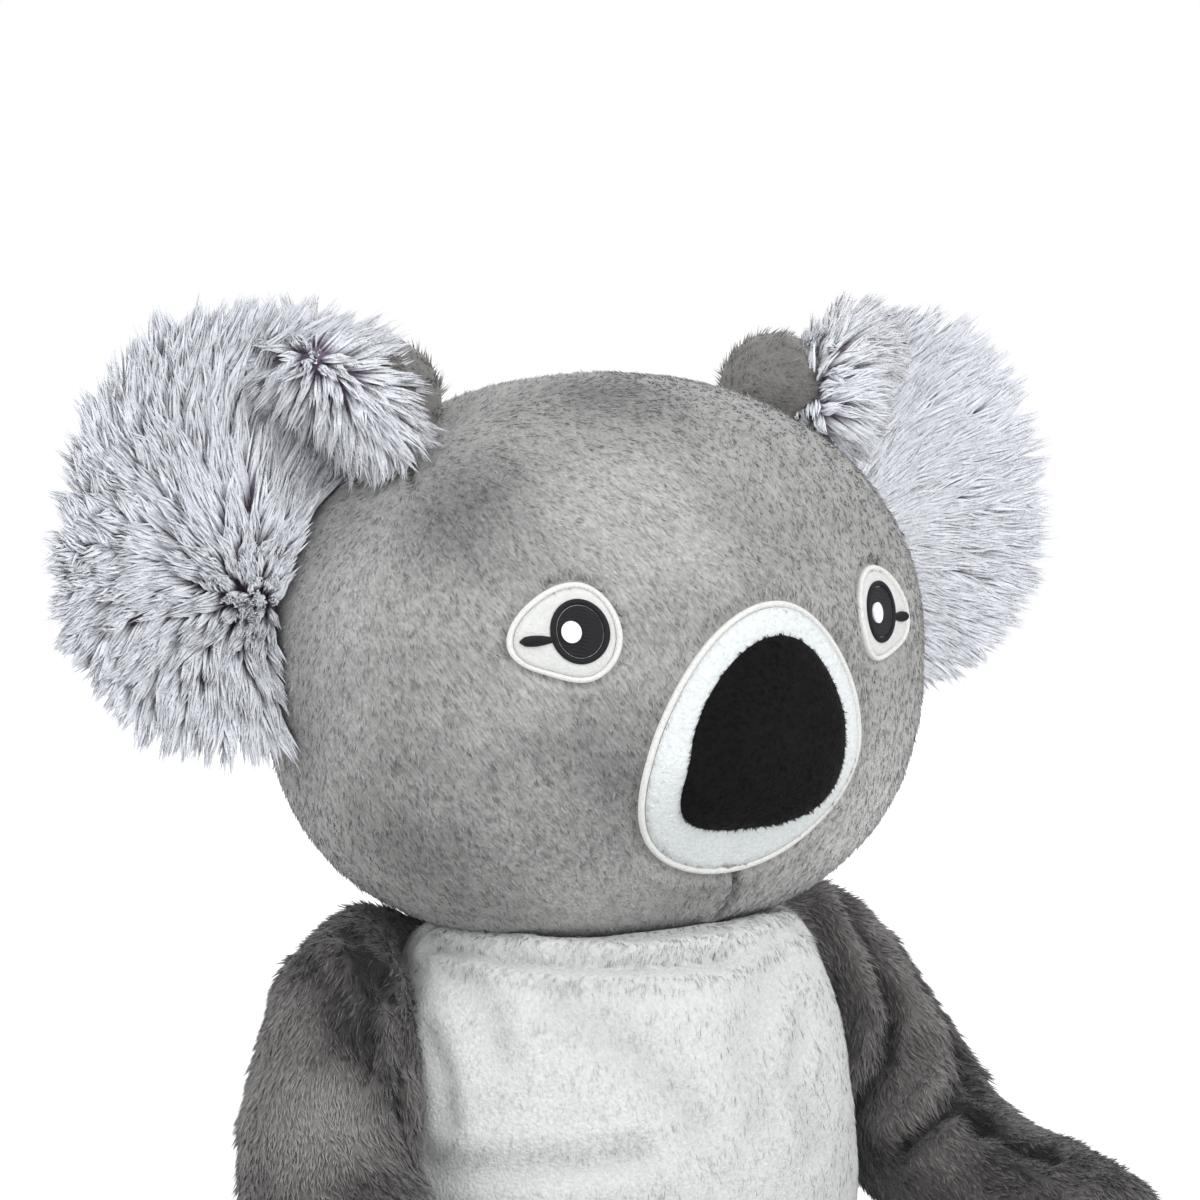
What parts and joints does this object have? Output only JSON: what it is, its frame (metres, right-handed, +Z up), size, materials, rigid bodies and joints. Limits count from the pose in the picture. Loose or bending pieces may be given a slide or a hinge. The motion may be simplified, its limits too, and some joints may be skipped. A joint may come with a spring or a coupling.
{
  "type": "plush koala",
  "caption": "Seated stuffed koala with a turning head, swinging arms and legs, long-furred ears, an embroidered face and black claws.",
  "frame": {"origin": "middle of the flat underside of the seat, on the plane that the toy rests on", "axes": "+Z up, the face looks along -Y, the toy's right side is at -X"},
  "size_m": [0.4, 0.2693, 0.4015],
  "materials": {
    "mid_grey_plush": "matte",
    "grey_plush": "matte",
    "dark_grey_plush": "matte",
    "pale_plush": "matte",
    "muzzle_plush": "matte",
    "two_tone_fur": "matte",
    "cream_thread": "satin",
    "white_felt": "matte",
    "black_plush": "matte",
    "black_claw": "matte",
    "fibre_filling": "matte",
    "pellet_bag_cloth": "matte"
  },
  "bodies": {
    "torso": {"body_back_skin": "grey_plush", "belly_panel": "pale_plush", "body_stuffing": "fibre_filling", "seat_pellet_bag": "pellet_bag_cloth"},
    "head": {"head_skin": "mid_grey_plush", "head_stuffing": "fibre_filling", "muzzle_patch": "muzzle_plush", "muzzle_edging": "cream_thread", "nose": "black_plush", "right_eye_white": "white_felt", "right_eye_edging": "cream_thread", "right_eye_pupil": "black_plush", "right_eye_lash": "black_plush", "right_eye_highlight": "white_felt", "right_ear_fur": "two_tone_fur", "right_ear_back": "grey_plush", "left_eye_white": "white_felt", "left_eye_edging": "cream_thread", "left_eye_pupil": "black_plush", "left_eye_lash": "black_plush", "left_eye_highlight": "white_felt", "left_ear_fur": "two_tone_fur", "left_ear_back": "grey_plush"},
    "right_arm": {"right_arm_skin": "dark_grey_plush", "right_arm_stuffing": "fibre_filling", "right_hand_claw_1": "black_claw", "right_hand_claw_2": "black_claw", "right_hand_claw_3": "black_claw"},
    "left_arm": {"left_arm_skin": "dark_grey_plush", "left_arm_stuffing": "fibre_filling", "left_hand_claw_1": "black_claw", "left_hand_claw_2": "black_claw", "left_hand_claw_3": "black_claw"},
    "right_leg": {"right_leg_skin": "dark_grey_plush", "right_leg_stuffing": "fibre_filling", "right_foot_claw_1": "black_claw", "right_foot_claw_2": "black_claw", "right_foot_claw_3": "black_claw"},
    "left_leg": {"left_leg_skin": "dark_grey_plush", "left_leg_stuffing": "fibre_filling", "left_foot_claw_1": "black_claw", "left_foot_claw_2": "black_claw", "left_foot_claw_3": "black_claw"}
  },
  "joints": [
    {"name": "head_turn", "type": "hinge", "parent": "torso", "child": "head", "pos_m": [0, 0, 0.1865], "axis": [0, 0, 1], "range_deg": [-30, 30], "stiffness_Nm_per_rad": 0.6},
    {"name": "right_arm_swing", "type": "hinge", "parent": "torso", "child": "right_arm", "pos_m": [-0.072, 0.004, 0.16825], "axis": [1, 0, 0], "range_deg": [-60, 25], "stiffness_Nm_per_rad": 0.5},
    {"name": "left_arm_swing", "type": "hinge", "parent": "torso", "child": "left_arm", "pos_m": [0.072, 0.004, 0.16825], "axis": [1, 0, 0], "range_deg": [-60, 25], "stiffness_Nm_per_rad": 0.5},
    {"name": "right_leg_swing", "type": "hinge", "parent": "torso", "child": "right_leg", "pos_m": [-0.05, -0.05916, 0.03313], "axis": [1, 0, 0], "range_deg": [-20, 20], "stiffness_Nm_per_rad": 0.5},
    {"name": "left_leg_swing", "type": "hinge", "parent": "torso", "child": "left_leg", "pos_m": [0.05, -0.05916, 0.03313], "axis": [1, 0, 0], "range_deg": [-20, 20], "stiffness_Nm_per_rad": 0.5}
  ]
}
